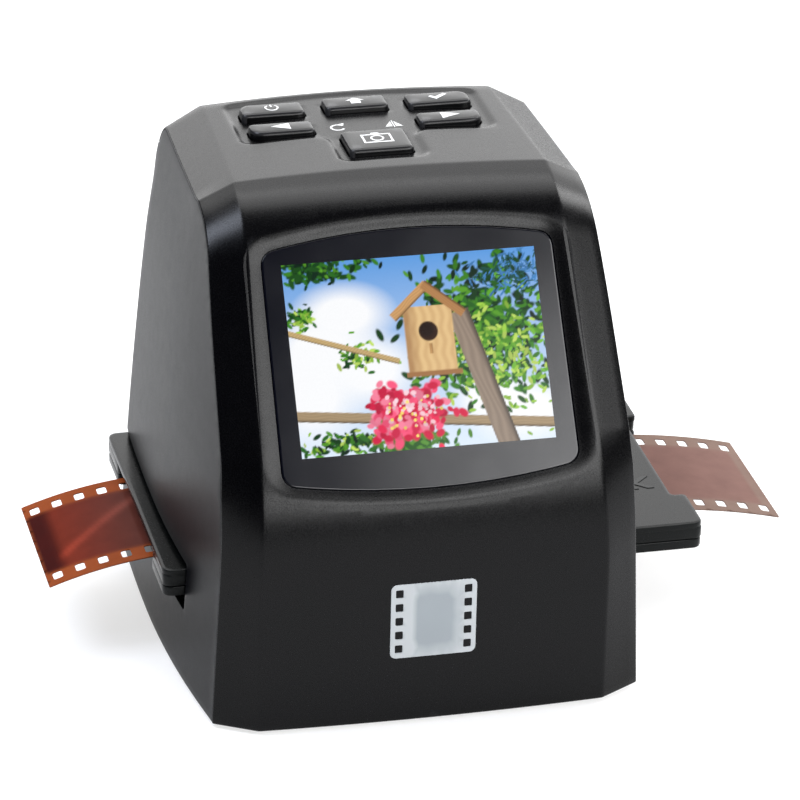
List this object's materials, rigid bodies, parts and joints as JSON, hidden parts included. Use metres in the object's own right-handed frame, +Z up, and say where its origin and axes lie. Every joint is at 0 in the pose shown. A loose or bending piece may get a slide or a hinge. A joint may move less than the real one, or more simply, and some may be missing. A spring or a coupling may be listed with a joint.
{
  "type": "film negative scanner",
  "caption": "Upright desk-top film scanner: leaning colour screen, roof keypad, and a hinged film tray sliding through a slot in its sides.",
  "frame": {"origin": "middle of the base plate's flat underside; the rubber feet reach 0.8 mm below it", "axes": "+Z up; +X to the right as seen from the screen side, along the film tray; +Y to the back"},
  "size_m": [0.1511, 0.0959, 0.0997],
  "materials": {
    "shell_black": "spark-textured moulded ABS, satin sheen",
    "gloss_black": "smooth glossy moulded plastic",
    "key_black": "semi-gloss moulded keycap with light printed symbols",
    "window": "tinted glossy acrylic",
    "display": "display glass showing a picture",
    "white_plastic": "white moulded plastic",
    "inner_black": "plain black moulded plastic",
    "steel": "bright stamped steel",
    "board": "green solder mask",
    "chip": "black epoxy package",
    "rubber": "soft black rubber",
    "lens": "coated lens glass",
    "filter": "coated filter glass",
    "lamp": "lamp with yellow phosphor",
    "ribbon": "flat cable film",
    "badge": "silver-grey printed emblem",
    "film": "orange-brown developed colour negative"
  },
  "bodies": {
    "housing": {"front_cover": "shell_black", "rear_cover": "shell_black", "base_plate": "shell_black", "rubber_feet": "rubber", "base_screws": "steel", "screen_window": "window", "display_frame": "steel", "display_glass": "display", "display_lamp": "white_plastic", "main_board": "board", "processor_chip": "chip", "memory_chips": "chip", "main_board_screws": "steel", "keypad_board": "board", "key_switches": "inner_black", "keypad_screws": "steel", "lower_guide": "inner_black", "upper_guide": "inner_black", "guide_screws": "steel", "detent_spring": "steel", "light_box": "white_plastic", "diffuser": "white_plastic", "lamp_board": "white_plastic", "lamp_leds": "lamp", "camera_tower": "inner_black", "tower_screws": "steel", "lens_holder": "inner_black", "lens_barrel": "inner_black", "front_lens": "lens", "rear_lens": "lens", "infrared_filter": "filter", "sensor_board": "board", "image_sensor": "chip", "sensor_screws": "steel", "keypad_ribbon": "ribbon", "sensor_ribbon": "ribbon", "lamp_ribbon": "ribbon", "port_board": "board", "usb_port": "steel", "video_jack": "inner_black", "card_slot": "steel", "port_screws": "steel", "front_badge": "badge"},
    "power_button": {"power_key": "key_black", "power_plunger": "inner_black"},
    "up_button": {"up_key": "key_black", "up_plunger": "inner_black"},
    "ok_button": {"ok_key": "key_black", "ok_plunger": "inner_black"},
    "left_button": {"left_key": "key_black", "left_plunger": "inner_black"},
    "right_button": {"right_key": "key_black", "right_plunger": "inner_black"},
    "scan_button": {"scan_key": "key_black", "scan_plunger": "inner_black"},
    "tray": {"tray_base": "gloss_black"},
    "lid": {"tray_lid": "gloss_black"},
    "film": {"film_strip": "film"}
  },
  "joints": [
    {"name": "power_press", "type": "slide", "parent": "housing", "child": "power_button", "axis": [0, 0, -1], "range_m": [0, 0.0005], "stiffness_N_per_m": 400, "springref_m": -0.0005},
    {"name": "up_press", "type": "slide", "parent": "housing", "child": "up_button", "axis": [0, 0, -1], "range_m": [0, 0.0005], "stiffness_N_per_m": 400, "springref_m": -0.0005},
    {"name": "ok_press", "type": "slide", "parent": "housing", "child": "ok_button", "axis": [0, 0, -1], "range_m": [0, 0.0005], "stiffness_N_per_m": 400, "springref_m": -0.0005},
    {"name": "left_press", "type": "slide", "parent": "housing", "child": "left_button", "axis": [0, 0, -1], "range_m": [0, 0.0005], "stiffness_N_per_m": 400, "springref_m": -0.0005},
    {"name": "right_press", "type": "slide", "parent": "housing", "child": "right_button", "axis": [0, 0, -1], "range_m": [0, 0.0005], "stiffness_N_per_m": 400, "springref_m": -0.0005},
    {"name": "scan_press", "type": "slide", "parent": "housing", "child": "scan_button", "axis": [0, 0, -1], "range_m": [0, 0.0005], "stiffness_N_per_m": 400, "springref_m": -0.0005},
    {"name": "tray_slide", "type": "slide", "parent": "housing", "child": "tray", "axis": [1, 0, 0], "range_m": [0, 0.095], "deforming": ["detent_spring", "film_strip"]},
    {"name": "lid_hinge", "type": "hinge", "parent": "tray", "child": "lid", "pos_m": [0, 0.0392, 0.0196], "axis": [-1, 0, 0], "range_deg": [0, 0.8]},
    {"name": "film_feed", "type": "slide", "parent": "tray", "child": "film", "axis": [1, 0, 0], "range_m": [-0.00475, 0.00475]}
  ]
}
